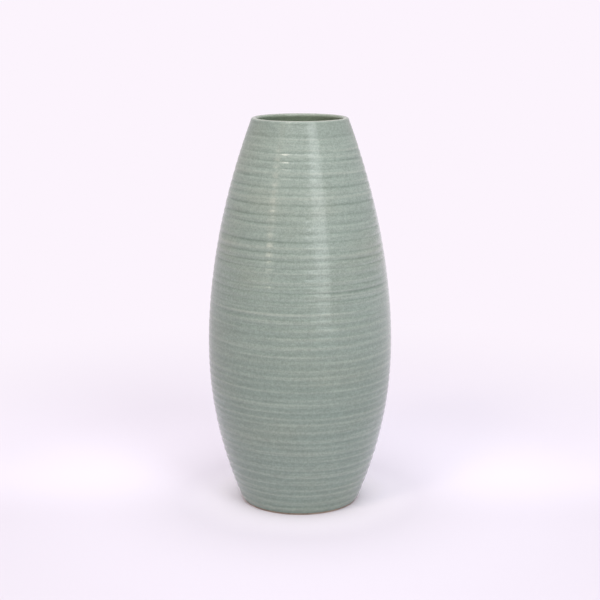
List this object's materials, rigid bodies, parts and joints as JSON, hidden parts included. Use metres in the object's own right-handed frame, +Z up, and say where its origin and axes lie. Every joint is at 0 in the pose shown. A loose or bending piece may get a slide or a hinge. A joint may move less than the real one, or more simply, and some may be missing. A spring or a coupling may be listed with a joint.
{
  "type": "vase",
  "caption": "Tall egg-shaped stoneware vase with throwing rings, a narrow round mouth and a speckled grey-green glaze; holds cut stems and stands on a trimmed foot ring.",
  "frame": {"origin": "centre of the foot ring, in the plane that the vase stands on", "axes": "+Z up along the vase's axis, from the foot to the mouth; X and Y are alike, as the vase is a solid of revolution"},
  "size_m": [0.142, 0.142, 0.3],
  "materials": {
    "stoneware_clay": "bare fired stoneware, matte and slightly gritty, with trimming rings",
    "celadon_glaze": "satin to semi-gloss speckled grey-green celadon, paler on the throwing rings and darker in the grooves",
    "lip_glaze": "semi-gloss glaze broken thin and pale over the lip",
    "liner_glaze": "glossy olive-green liner glaze"
  },
  "bodies": {
    "root": {"stoneware_body": "stoneware_clay", "outer_glaze": "celadon_glaze", "rim_glaze": "lip_glaze", "liner_glaze": "liner_glaze"}
  },
  "joints": []
}
